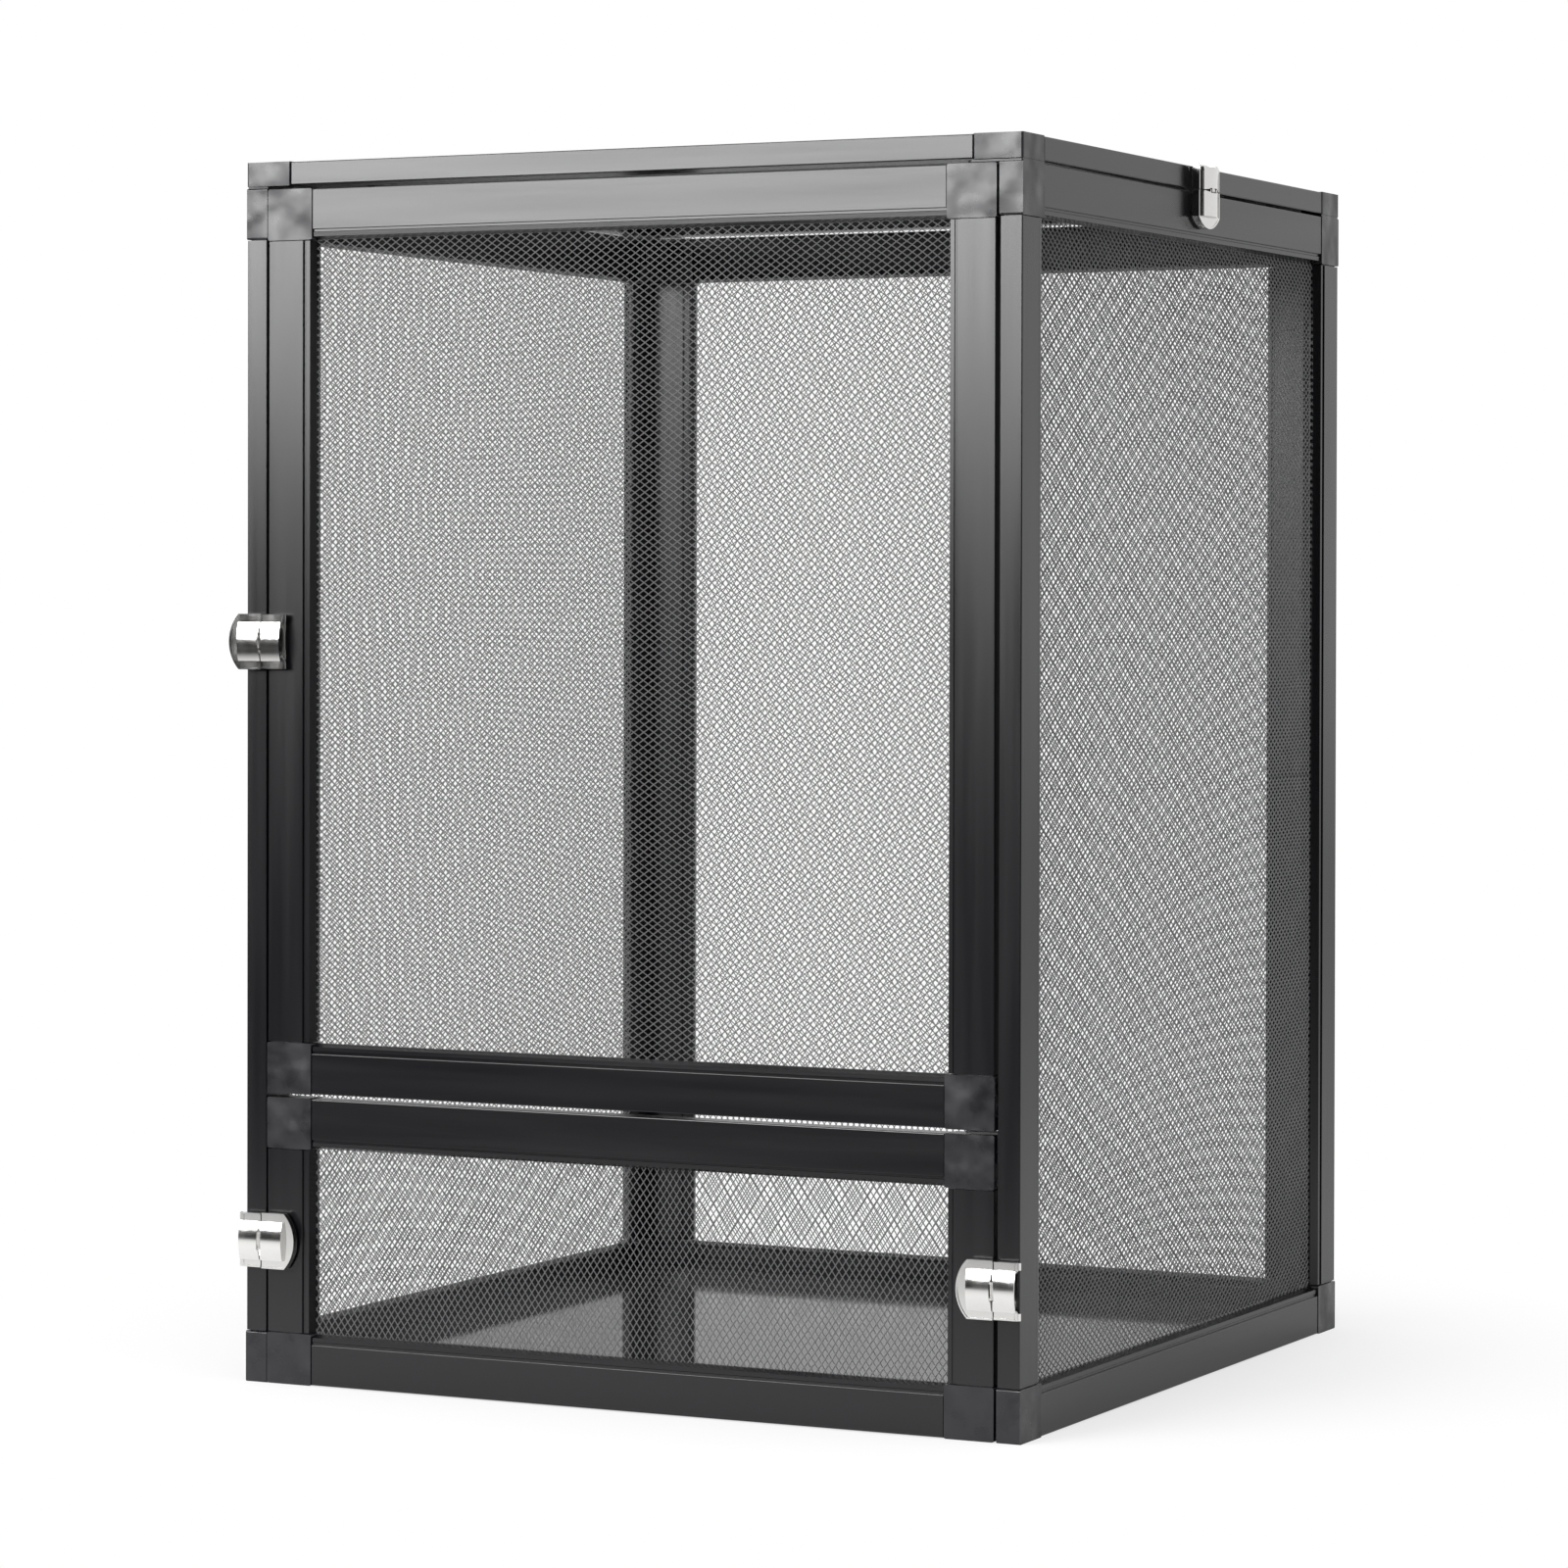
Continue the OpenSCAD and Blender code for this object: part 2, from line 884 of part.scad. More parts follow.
module floor_rails() {
    color(black)
        on_floor()
            for (i = [0 : 3])
                at_corner(i, floor_w, floor_d)
                    translate([block_reach, 0, -floor_t])
                        floor_tube((i % 2 == 0 ? floor_w : floor_d) - 2 * block_reach);
}

module floor_corner_blocks() {
    color(plastic)
        difference() {
            on_floor()
                for (i = [0 : 3])
                    at_corner(i, floor_w, floor_d)
                        floor_block();
            dowels(pin_fit, past);
        }
}

module floor_board() {
    color(sheet_grey)
        translate([-floor_w / 2, floor_front_y, floor_top_z])
            cube([floor_w, floor_d, board_t]);
}

// ---------- Upper door and its hinge ----------

module upper_door_latch_stile() {
    color(black)
        difference() {
            on_upper_door()
                left_stile(upper_h);
            at_upper_latch()
                latch_screw_holes(1);
        }
}

module upper_door_hinge_stile() {
    color(black)
        on_upper_door()
            right_stile(door_w, upper_h);
}

module upper_door_top_rail() {
    color(black)
        on_upper_door()
            top_rail(door_w, upper_h);
}

module upper_door_bottom_rail() {
    color(black)
        on_upper_door()
            bottom_rail(door_w);
}

module upper_door_corner_blocks() {
    color(plastic)
        difference() {
            on_upper_door()
                corner_blocks(door_w, upper_h);
            pins(pin_fit, past);
        }
}

module upper_door_mesh() {
    color(sheet_grey)
        on_upper_door()
            mesh_sheet(door_w, upper_h);
}

// The two hinge pins, each from its plate into the door.
module pins(grow, longer) {
    translate([hinge_x, hinge_y, top_plate_z - hinge_pin_len - longer])
        cylinder(d = hinge_pin_d + 2 * grow, h = hinge_pin_len + hinge_plate_t + longer);
    translate([hinge_x, hinge_y, split_plate_z])
        cylinder(d = hinge_pin_d + 2 * grow, h = hinge_pin_len + hinge_plate_t + longer);
}

module hinge_tongue(z, end_x) {
    translate([hinge_x, hinge_y, z])
        cylinder(r = hinge_plate_r, h = hinge_plate_t);
    translate([hinge_x, hinge_y - hinge_plate_r, z])
        cube([end_x - hinge_x, 2 * hinge_plate_r, hinge_plate_t]);
}

// The pocket in the side panel's top block that takes the upper hinge plate.
module top_plate_pocket() {
    translate([inner_x - block_proud - past, hinge_y - hinge_plate_r - near, top_plate_z - near / 2])
        cube([rail_t + past, 2 * hinge_plate_r + 2 * near, seat_h + rail_t]);
}

top_plate_end = inner_x + rail_t - 2 * block_proud;
hinge_screw_r = 1.5;
hinge_head_r = 2.4;
hinge_screw_len = 8;

module hinge_screw(grow, longer) {
    cylinder(r1 = hinge_screw_r + grow, r2 = hinge_head_r + grow, h = hinge_plate_t);
    translate([0, 0, -hinge_screw_len - longer])
        cylinder(r = hinge_screw_r + grow, h = hinge_screw_len + longer);
}

module top_plate_screw(grow, longer) {
    translate([inner_x + rail_t / 2, hinge_y, top_plate_z])
        hinge_screw(grow, longer);
}

module split_plate_screw(grow, longer) {
    translate([inner_x, hinge_y + hinge_plate_r / 2, split_plate_z - hinge_leg_h / 2])
        rotate([0, -90, 0])
            hinge_screw(grow, longer);
}

module hinge_plates() {
    color(nickel)
        difference() {
            union() {
                hinge_tongue(top_plate_z, top_plate_end);
                hinge_tongue(split_plate_z, inner_x);
                translate([
                    inner_x - hinge_plate_t,
                    hinge_y - hinge_plate_r / 2,
                    split_plate_z - hinge_leg_h
                ])
                    cube([hinge_plate_t, hinge_plate_r * 2, hinge_leg_h + hinge_plate_t]);
            }
            pins(pin_fit, 0);
            top_plate_screw(pin_fit, 0);
            split_plate_screw(pin_fit, 0);
        }
}

module hinge_pins() {
    color(nickel)
        pins(0, 0);
}

// ---------- Lower door ----------

module lower_door_left_stile() {
    color(black)
        difference() {
            on_lower_door()
                left_stile(lower_h);
            at_lower_left_latch()
                latch_screw_holes(-1);
        }
}

module lower_door_right_stile() {
    color(black)
        difference() {
            on_lower_door()
                right_stile(door_w, lower_h);
            at_lower_right_latch()
                latch_screw_holes(-1);
        }
}

module lower_door_top_rail() {
    color(black)
        on_lower_door()
            top_rail(door_w, lower_h);
}

module lower_door_bottom_rail() {
    color(black)
        on_lower_door()
            bottom_rail(door_w);
}

module lower_door_corner_blocks() {
    color(plastic)
        on_lower_door()
            corner_blocks(door_w, lower_h);
}

module lower_door_mesh() {
    color(sheet_grey)
        on_lower_door()
            mesh_sheet(door_w, lower_h);
}

// ---------- Lid ----------

module lid_cross_rails() {
    color(black)
        on_lid() {
            bottom_rail(2 * side_x);
            top_rail(2 * side_x, side_len);
        }
}

module lid_side_rails() {
    color(black)
        difference() {
            on_lid() {
                left_stile(side_len);
                right_stile(2 * side_x, side_len);
            }
            at_lid_left_latch()
                latch_screw_holes(1);
            at_lid_right_latch()
                latch_screw_holes(1);
        }
}

module lid_corner_blocks() {
    color(plastic)
        on_lid()
            corner_blocks(2 * side_x, side_len);
}

module lid_mesh() {
    color(sheet_grey)
        on_lid()
            mesh_sheet(2 * side_x, side_len);
}

// ---------- Latch plates and screws ----------

module cage_latch_plates() {
    color(nickel) {
        at_upper_latch()
            lever_plate();
        at_lid_left_latch()
            lever_plate();
        at_lid_right_latch()
            lever_plate();
        at_lower_left_latch()
            catch_plate();
        at_lower_right_latch()
            catch_plate();
    }
}

module upper_door_latch_plate() {
    color(nickel)
        at_upper_latch()
            claw_hinge_plate();
}

module lower_door_latch_bases() {
    color(nickel) {
        at_lower_left_latch()
            lever_base();
        at_lower_right_latch()
            lever_base();
    }
}

module lid_latch_plates() {
    color(nickel) {
        at_lid_left_latch()
            claw_hinge_plate();
        at_lid_right_latch()
            claw_hinge_plate();
    }
}

module cage_screws() {
    color(nickel) {
        at_upper_latch()
            latch_screws(-1);
        at_lid_left_latch()
            latch_screws(-1);
        at_lid_right_latch()
            latch_screws(-1);
        at_lower_left_latch()
            latch_screws(1);
        at_lower_right_latch()
            latch_screws(1);
        top_plate_screw(0, 0);
        split_plate_screw(0, 0);
    }
}

module upper_door_screws() {
    color(nickel)
        at_upper_latch()
            latch_screws(1);
}

module lower_door_screws() {
    color(nickel) {
        at_lower_left_latch()
            latch_screws(-1);
        at_lower_right_latch()
            latch_screws(-1);
    }
}

module lid_screws() {
    color(nickel) {
        at_lid_left_latch()
            latch_screws(1);
        at_lid_right_latch()
            latch_screws(1);
    }
}

// ---------- Levers, claws and pins ----------

// A claw that carries the lever on its own knuckle pin.
module claw_with_pin() {
    claw();
    knuckle_pin();
}

module upper_latch_lever() {
    color(nickel)
        at_upper_latch()
            lever();
}

module upper_latch_claw() {
    color(nickel)
        at_upper_latch()
            claw_with_pin();
}

module upper_latch_pin() {
    color(nickel)
        at_upper_latch()
            barrel_pin();
}

module lower_left_latch_lever() {
    color(nickel)
        at_lower_left_latch()
            lever();
}

module lower_left_latch_claw() {
    color(nickel)
        at_lower_left_latch()
            claw();
}

module lower_right_latch_lever() {
    color(nickel)
        at_lower_right_latch()
            lever();
}

module lower_right_latch_claw() {
    color(nickel)
        at_lower_right_latch()
            claw();
}

module lower_latch_pins() {
    color(nickel) {
        at_lower_left_latch()
            knuckle_pin();
        at_lower_right_latch()
            knuckle_pin();
    }
}

module lid_left_latch_lever() {
    color(nickel)
        at_lid_left_latch()
            lever();
}

module lid_left_latch_claw() {
    color(nickel)
        at_lid_left_latch()
            claw_with_pin();
}

module lid_right_latch_lever() {
    color(nickel)
        at_lid_right_latch()
            lever();
}

module lid_right_latch_claw() {
    color(nickel)
        at_lid_right_latch()
            claw_with_pin();
}

module lid_latch_pins() {
    color(nickel) {
        at_lid_left_latch()
            barrel_pin();
        at_lid_right_latch()
            barrel_pin();
    }
}

left_front_stile();
left_rear_stile();
left_top_rail();
left_bottom_rail();
left_corner_blocks();
left_mesh();
right_front_stile();
right_rear_stile();
right_top_rail();
right_bottom_rail();
right_corner_blocks();
right_mesh();
back_stiles();
back_rails();
back_corner_blocks();
back_mesh();
floor_rails();
floor_corner_blocks();
floor_board();
panel_dowels();
upper_door_latch_stile();
upper_door_hinge_stile();
upper_door_top_rail();
upper_door_bottom_rail();
upper_door_corner_blocks();
upper_door_mesh();
lower_door_left_stile();
lower_door_right_stile();
lower_door_top_rail();
lower_door_bottom_rail();
lower_door_corner_blocks();
lower_door_mesh();
lid_cross_rails();
lid_side_rails();
lid_corner_blocks();
lid_mesh();
hinge_plates();
hinge_pins();
cage_latch_plates();
upper_door_latch_plate();
lower_door_latch_bases();
lid_latch_plates();
cage_screws();
upper_door_screws();
lower_door_screws();
lid_screws();
upper_latch_lever();
upper_latch_claw();
upper_latch_pin();
lower_left_latch_lever();
lower_left_latch_claw();
lower_right_latch_lever();
lower_right_latch_claw();
lower_latch_pins();
lid_left_latch_lever();
lid_left_latch_claw();
lid_right_latch_lever();
lid_right_latch_claw();
lid_latch_pins();
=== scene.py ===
"""A framed screen cage for reptiles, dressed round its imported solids.

Lengths are metres. Colours are linear, and grey() turns a screen level into one.
"""

import math

import bpy
import mathutils
import numpy as np
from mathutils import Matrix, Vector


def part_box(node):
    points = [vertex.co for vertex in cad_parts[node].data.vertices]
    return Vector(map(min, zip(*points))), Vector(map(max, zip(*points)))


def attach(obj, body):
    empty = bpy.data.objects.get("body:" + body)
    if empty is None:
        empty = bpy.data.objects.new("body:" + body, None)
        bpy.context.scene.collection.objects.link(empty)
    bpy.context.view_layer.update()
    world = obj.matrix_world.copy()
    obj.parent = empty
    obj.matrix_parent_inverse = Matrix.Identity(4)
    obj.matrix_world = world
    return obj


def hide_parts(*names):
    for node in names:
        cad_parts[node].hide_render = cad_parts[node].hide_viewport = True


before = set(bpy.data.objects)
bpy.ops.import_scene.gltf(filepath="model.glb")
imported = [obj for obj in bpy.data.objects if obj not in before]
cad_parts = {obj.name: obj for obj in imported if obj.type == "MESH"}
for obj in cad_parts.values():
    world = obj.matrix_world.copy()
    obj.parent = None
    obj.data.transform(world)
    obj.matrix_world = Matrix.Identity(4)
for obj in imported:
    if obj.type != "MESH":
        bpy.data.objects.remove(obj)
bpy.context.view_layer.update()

MM = 0.001

# Camera, solved from the straight edges of the photograph.
CAMERA_PLACE = (1.1788, -2.4155, 0.4046)
CAMERA_TURN = 26.288
CAMERA_TILT = -0.653
CAMERA_ROLL = 0.123
CAMERA_LENS = 117.06
CAMERA_SHIFT = -0.0879
CAMERA_REACH = 50
SENSOR = 36.0

# Expanded metal: diamond pitches, width of a strand and thickness of the sheet.
LONG_PITCH = 5.34 * MM
SHORT_PITCH = 3.67 * MM
STRAND = 0.54 * MM
SHEET = 0.6 * MM
# How far the rows of diamonds stray sideways, and how fast that changes, in radians for each metre.
WANDER = 0.35 * MM
WANDER_RATE = 170.0
# The stray's own slow swing, in radians, how much slower it is, and its share across the rows.
WANDER_SWING = 2
WANDER_SLOWER = 3
WANDER_ACROSS = 0.5
# What a noise texture's small departure from its middle is multiplied by, and the depth of bump.
NOISE_MIDDLE = 0.5
NOISE_GAIN = 4.0
BUMP_DEPTH = 0.1 * MM


def grey(level, red=1.0, blue=1.0):
    """A screen level from 0 to 255 as a linear colour, with its red and blue scaled."""
    v = level / 255.0
    lin = v / 12.92 if v <= 0.04045 else ((v + 0.055) / 1.055) ** 2.4
    return (lin * red, lin, lin * blue, 1.0)


# ---------- Node helpers ----------


def link(tree, a, b):
    """Joins output socket a to input socket b."""
    tree.links.new(a, b)


def math_node(tree, operation, a, b):
    """A Math node of two inputs, each a socket or a number."""
    node = tree.nodes.new("ShaderNodeMath")
    node.operation = operation
    for socket, value in zip(node.inputs, (a, b)):
        if isinstance(value, (int, float)):
            socket.default_value = value
        else:
            link(tree, value, socket)
    return node.outputs[0]


def new_group(name, inputs, outputs):
    """An empty shader group: inputs maps a name to (socket type, value), outputs a name to a type."""
    group = bpy.data.node_groups.new(name, "ShaderNodeTree")
    for key, (kind, value) in inputs.items():
        socket = group.interface.new_socket(key, in_out="INPUT", socket_type=kind)
        if value is not None:
            socket.default_value = value
    for key, kind in outputs.items():
        group.interface.new_socket(key, in_out="OUTPUT", socket_type=kind)
    return group, group.nodes.new("NodeGroupInput"), group.nodes.new("NodeGroupOutput")


VALUE = "NodeSocketFloat"
COLOUR = "NodeSocketColor"
VECTOR = "NodeSocketVector"


def make_coat_grain():
    """Grain of a coated or moulded surface. Tone varies a colour by slow patches and fine specks,
    Roughness varies the same way, and Height is a fine orange peel on smooth waves."""
    group, given, put = new_group(
        "coat_grain",
        {
            "Vector": (VECTOR, None),
            "Colour": (COLOUR, (0.05, 0.05, 0.05, 1)),
            "Roughness": (VALUE, 0.4),
            "Patch size": (VALUE, 60.0),
            "Patch depth": (VALUE, 0.2),
            "Speck size": (VALUE, 900.0),
            "Speck depth": (VALUE, 0.1),
            "Rough depth": (VALUE, 0.1),
            "Wave size": (VALUE, 60.0),
            "Wave depth": (VALUE, 0.0),
        },
        {"Colour": COLOUR, "Roughness": VALUE, "Height": VALUE},
    )
    patches = group.nodes.new("ShaderNodeTexNoise")
    patches.inputs["Detail"].default_value = 3.0
    link(group, given.outputs["Vector"], patches.inputs["Vector"])
    link(group, given.outputs["Patch size"], patches.inputs["Scale"])
    specks = group.nodes.new("ShaderNodeTexNoise")
    specks.inputs["Detail"].default_value = 2.0
    link(group, given.outputs["Vector"], specks.inputs["Vector"])
    link(group, given.outputs["Speck size"], specks.inputs["Scale"])
    patch = math_node(group, "SUBTRACT", patches.outputs["Fac"], NOISE_MIDDLE)
    speck = math_node(group, "SUBTRACT", specks.outputs["Fac"], NOISE_MIDDLE)
    patch_part = math_node(group, "MULTIPLY", patch, given.outputs["Patch depth"])
    speck_part = math_node(group, "MULTIPLY", speck, given.outputs["Speck depth"])
    swing = math_node(group, "ADD", patch_part, speck_part)
    factor = math_node(group, "ADD", math_node(group, "MULTIPLY", swing, NOISE_GAIN), 1.0)
    scaled = group.nodes.new("ShaderNodeVectorMath")
    scaled.operation = "SCALE"
    link(group, given.outputs["Colour"], scaled.inputs[0])
    link(group, factor, scaled.inputs["Scale"])
    link(group, scaled.outputs[0], put.inputs["Colour"])
    rough = math_node(group, "MULTIPLY", patch, given.outputs["Rough depth"])
    rough = math_node(group, "MULTIPLY", rough, NOISE_GAIN)
    link(group, math_node(group, "ADD", rough, given.outputs["Roughness"]), put.inputs["Roughness"])
    waves = group.nodes.new("ShaderNodeTexNoise")
    waves.inputs["Detail"].default_value = 0.5
    link(group, given.outputs["Vector"], waves.inputs["Vector"])
    link(group, given.outputs["Wave size"], waves.inputs["Scale"])
    wave = math_node(group, "MULTIPLY", waves.outputs["Fac"], given.outputs["Wave depth"])
    link(group, math_node(group, "ADD", specks.outputs["Fac"], wave), put.inputs["Height"])
    return group


COAT_GRAIN = make_coat_grain()


def new_material(name):
    """A material with only a Principled shader and its output, and Object coordinates to start from."""
    mat = bpy.data.materials.new(name)
    mat.use_nodes = True
    tree = mat.node_tree
    tree.nodes.clear()
    shader = tree.nodes.new("ShaderNodeBsdfPrincipled")
    output = tree.nodes.new("ShaderNodeOutputMaterial")
    link(tree, shader.outputs["BSDF"], output.inputs["Surface"])
    coords = tree.nodes.new("ShaderNodeTexCoord").outputs["Object"]
    return mat, tree, shader, coords


def coated(name, colour, rough, stretch=(1, 1, 1), patch=(60, 0.1), speck=(900, 0.05),
           rough_depth=0.05, wave=(60, 0.0), bump=0.1, metallic=0.0):
    """A coated, moulded or plated finish. patch, speck and wave are each (size, depth), and stretch
    scales the grain's coordinates, so a small number draws it out that way."""
    mat, tree, shader, coords = new_material(name)
    mapping = tree.nodes.new("ShaderNodeMapping")
    mapping.inputs["Scale"].default_value = stretch
    link(tree, coords, mapping.inputs["Vector"])
    grain = tree.nodes.new("ShaderNodeGroup")
    grain.node_tree = COAT_GRAIN
    link(tree, mapping.outputs["Vector"], grain.inputs["Vector"])
    grain.inputs["Colour"].default_value = colour
    grain.inputs["Roughness"].default_value = rough
    grain.inputs["Patch size"].default_value = patch[0]
    grain.inputs["Patch depth"].default_value = patch[1]
    grain.inputs["Speck size"].default_value = speck[0]
    grain.inputs["Speck depth"].default_value = speck[1]
    grain.inputs["Rough depth"].default_value = rough_depth
    grain.inputs["Wave size"].default_value = wave[0]
    grain.inputs["Wave depth"].default_value = wave[1]
    link(tree, grain.outputs["Colour"], shader.inputs["Base Color"])
    link(tree, grain.outputs["Roughness"], shader.inputs["Roughness"])
    bumper = tree.nodes.new("ShaderNodeBump")
    bumper.inputs["Strength"].default_value = bump
    bumper.inputs["Distance"].default_value = BUMP_DEPTH
    link(tree, grain.outputs["Height"], bumper.inputs["Height"])
    link(tree, bumper.outputs["Normal"], shader.inputs["Normal"])
    shader.inputs["Metallic"].default_value = metallic
    return mat


# Stretches that make an extrusion's grain run along the member.
ALONG_X = (0.04, 1, 1)
ALONG_Y = (1, 0.04, 1)
ALONG_Z = (1, 1, 0.04)


def extrusion(name, stretch):
    """Satin black powder coat with faint lines along the member."""
    return coated(name, grey(13, 1.03, 1.3), 0.23, stretch, patch=(120, 0.06), speck=(700, 0.05),
                  rough_depth=0.04, bump=0.12)


member_x = extrusion("member_coat_x", ALONG_X)
member_y = extrusion("member_coat_y", ALONG_Y)
member_z = extrusion("member_coat_z", ALONG_Z)
corner_plastic = coated("corner_plastic", grey(25, 1.0, 1.3), 0.3, patch=(75, 0.25), speck=(500, 0.05),
                        rough_depth=0.1, wave=(65, 130.0), bump=0.15)
mesh_coat = coated("mesh_coat", grey(118, 1.0, 1.02), 0.4, patch=(200, 0.05), speck=(1500, 0.05),
                   bump=0.05)
board_plastic = coated("board_plastic", grey(44), 0.07, patch=(12, 0.05), speck=(600, 0.03),
                       rough_depth=0.02, bump=0.02)
latch_nickel = coated("latch_nickel", grey(222, 1.01, 0.98), 0.13, patch=(140, 0.02), speck=(900, 0.02),
                      rough_depth=0.04, bump=0.04, metallic=1.0)
hinge_steel = coated("hinge_steel", grey(40), 0.35, patch=(140, 0.05), bump=0.08)
screw_steel = coated("screw_steel", grey(180), 0.3, patch=(300, 0.05), metallic=1.0, bump=0.04)


def dress(names, mat):
    """Gives each named CAD node the material, in every slot."""
    for name in names:
        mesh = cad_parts[name].data
        if not mesh.materials:
            mesh.materials.append(mat)
        for i in range(len(mesh.materials)):
            mesh.materials[i] = mat


SIDES = ("left", "right")
DOORS = ("upper_door", "lower_door")
node_names = list(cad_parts)
dress([n for n in node_names if "stile" in n], member_z)
dress(["lid_side_rails"] + [f"{s}_{e}_rail" for s in SIDES for e in ("top", "bottom")], member_y)
dress(["lid_cross_rails", "back_rails", "floor_rails"]
      + [f"{d}_{e}_rail" for d in DOORS for e in ("top", "bottom")], member_x)
dress([n for n in node_names if n.endswith("corner_blocks")] + ["panel_dowels"], corner_plastic)
dress([n for n in node_names if n.endswith("_mesh")], mesh_coat)
dress(["floor_board"], board_plastic)
dress(["hinge_plates", "hinge_pins"], hinge_steel)
dress([n for n in node_names if n.endswith("_screws")], screw_steel)
dress([n for n in node_names if "latch" in n and "stile" not in n], latch_nickel)


# ---------- Expanded metal ----------

FRONT, RIGHT, UP, LEFT, DOWN = range(5)


def net_triangles(columns, rows, first, last):
    """Corners and triangles of a diamond net between two of its rows.

    Knots lie where column plus row is even, a half pitch apart. Each knot has a front point and four
    back points, to its right, up, left and down. From each knot a strand runs up to the right and one
    up to the left. Its section is a triangle: the ridge joins the front points, and its two back edges
    join the back points that face each other. A square closes each knot's back, and a triangle closes
    each end where no strand follows. Returns the knots' column and row, and rows of corner numbers,
    five per knot.
    """
    i, j = np.meshgrid(np.arange(columns + 1), np.arange(first, last + 1))
    even = (i + j) % 2 == 0
    number = np.full(even.shape, -1)
    number[even] = np.arange(even.sum())
    ki, kj = i[even], j[even]

    def neighbour(di, dj):
        """Each knot's number of the knot di columns and dj rows away, or -1."""
        ni, nj = ki + di, kj + dj
        inside = (ni >= 0) & (ni <= columns) & (nj >= first) & (nj <= last)
        found = np.full(len(ki), -1)
        found[inside] = number[nj[inside] - first, ni[inside]]
        return found

    me = np.arange(len(ki))
    owned = (kj > first) | (first == 0)
    parts = []

    def add(mask, *corners):
        """Adds a triangle or a quad for each knot in the mask, its corners as (knot numbers, point)."""
        points = np.stack([(knots * 5 + point)[mask] for knots, point in corners], 1)
        parts.append(points[:, :3])
        if len(corners) == 4:
            parts.append(points[:, [0, 2, 3]])

    to_right, to_left = neighbour(1, 1), neighbour(-1, 1)
    on_right, on_left = to_right >= 0, to_left >= 0
    add(on_right, (me, FRONT), (me, RIGHT), (to_right, DOWN), (to_right, FRONT))
    add(on_right, (me, FRONT), (to_right, FRONT), (to_right, LEFT), (me, UP))
    add(on_right, (me, RIGHT), (me, UP), (to_right, LEFT), (to_right, DOWN))
    add(on_left, (me, FRONT), (to_left, FRONT), (to_left, DOWN), (me, LEFT))
    add(on_left, (me, FRONT), (me, UP), (to_left, RIGHT), (to_left, FRONT))
    add(on_left, (me, UP), (me, LEFT), (to_left, DOWN), (to_left, RIGHT))
    add(owned, (me, RIGHT), (me, DOWN), (me, LEFT), (me, UP))
    add(owned & ~on_right, (me, FRONT), (me, RIGHT), (me, UP))
    add(owned & ~on_left, (me, FRONT), (me, UP), (me, LEFT))
    add(owned & (neighbour(-1, -1) < 0), (me, FRONT), (me, LEFT), (me, DOWN))
    add(owned & (neighbour(1, -1) < 0), (me, FRONT), (me, DOWN), (me, RIGHT))
    add(~owned & on_right, (me, FRONT), (me, UP), (me, RIGHT))
    add(~owned & on_left, (me, FRONT), (me, LEFT), (me, UP))
    return ki, kj, np.concatenate(parts)


def mesh_from_triangles(name, points, triangles):
    """A mesh object from corner points and triples of corner numbers, without unused corners."""
    used, inverse = np.unique(triangles, return_inverse=True)
    triangles = inverse.reshape(-1, 3)
    points = points[used]
    mesh = bpy.data.meshes.new(name)
    mesh.vertices.add(len(points))
    mesh.vertices.foreach_set("co", points.astype(np.float32).ravel())
    mesh.loops.add(triangles.size)
    mesh.loops.foreach_set("vertex_index", triangles.astype(np.int32).ravel())
    mesh.polygons.add(len(triangles))
    mesh.polygons.foreach_set("loop_start", np.arange(0, triangles.size, 3, dtype=np.int32))
    mesh.update(calc_edges=True)
    piece = bpy.data.objects.new(name, mesh)
    bpy.context.scene.collection.objects.link(piece)
    return piece


def expanded_metal(node, body, long_way, short_way, parts):
    """Fills a CAD sheet with a diamond net, cut into strips of rows.

    long_way and short_way are unit vectors in the sheet, and their cross product points outwards.
    A knot at column i and row j lies i half long pitches and j half short pitches from one corner
    of the net, which is centred on the sheet and ends inside its edges. The knot strays along the
    rows by WANDER sin(across WANDER_RATE + swing), where swing changes slowly along the row.
    """
    low, high = (np.array(corner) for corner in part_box(node))
    middle, size = (low + high) / 2, high - low
    long_way, short_way = np.array(long_way, float), np.array(short_way, float)
    outward = np.cross(long_way, short_way)
    long_step, short_step = LONG_PITCH / 2, SHORT_PITCH / 2
    columns = int(abs(long_way @ size) / long_step)
    rows = int(abs(short_way @ size) / short_step)
    slant = math.hypot(long_step, short_step)
    reach_long = STRAND * slant / (2 * short_step)
    reach_short = STRAND * slant / (2 * long_step)
    offsets = np.array([
        outward * SHEET / 2,
        long_way * reach_long - outward * SHEET / 2,
        short_way * reach_short - outward * SHEET / 2,
        -long_way * reach_long - outward * SHEET / 2,
        -short_way * reach_short - outward * SHEET / 2,
    ])
    cuts = [round(rows * k / parts) for k in range(parts + 1)]
    for k in range(parts):
        i, j, triangles = net_triangles(columns, rows, cuts[k], cuts[k + 1])
        along = (i - columns / 2) * long_step
        across = (j - rows / 2) * short_step
        swing = WANDER_SWING * np.sin(along * WANDER_RATE / WANDER_SLOWER)
        drift = WANDER * np.sin(across * WANDER_RATE + swing)
        knots = (middle
                 + np.outer(along + drift, long_way)
                 + np.outer(across + drift * WANDER_ACROSS, short_way))
        points = (knots[:, None, :] + offsets[None, :, :]).reshape(-1, 3)
        name = node.replace("_mesh", "_expanded_metal") + (f"_{k + 1}" if parts > 1 else "")
        piece = mesh_from_triangles(name, points, triangles)
        piece.data.materials.append(mesh_coat)
        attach(piece, body)
        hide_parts(node)


